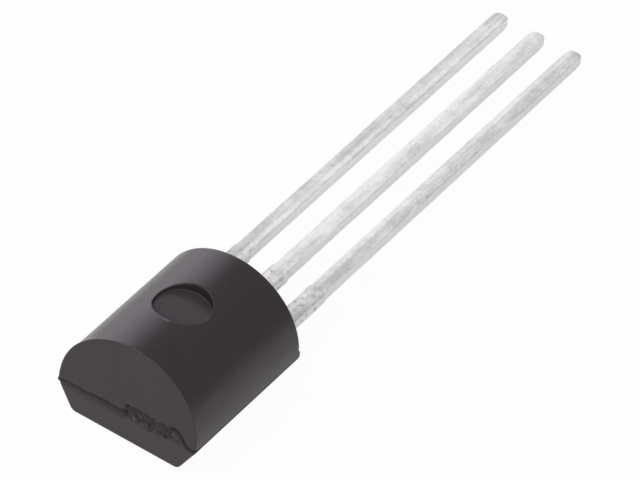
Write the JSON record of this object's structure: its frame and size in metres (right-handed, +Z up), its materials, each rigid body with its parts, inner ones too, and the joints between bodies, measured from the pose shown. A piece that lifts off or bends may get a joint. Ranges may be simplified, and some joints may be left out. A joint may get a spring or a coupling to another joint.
{
  "type": "voltage regulator",
  "caption": "Small voltage regulator in a moulded D-section epoxy package with a row of straight tinned leads out of one end, lying on its flat face.",
  "frame": {"origin": "middle of the flat face that the part lies on", "axes": "+Z up out of the flat face towards the round side, +Y along the leads towards their tips, +X across the row of leads"},
  "size_m": [0.0046, 0.021, 0.0033],
  "materials": {
    "epoxy": "satin moulded black epoxy, filled with silica",
    "tinned_copper": "dull hot-dipped tin on copper alloy",
    "die_attach": "cured silver-filled adhesive",
    "silicon": "polished passivated silicon",
    "bond_wire": "bright drawn gold"
  },
  "bodies": {
    "root": {"body": "epoxy", "output_lead": "tinned_copper", "ground_lead": "tinned_copper", "input_lead": "tinned_copper", "die_attach": "die_attach", "die": "silicon", "output_wire": "bond_wire", "ground_wire": "bond_wire", "input_wire": "bond_wire"}
  },
  "joints": []
}
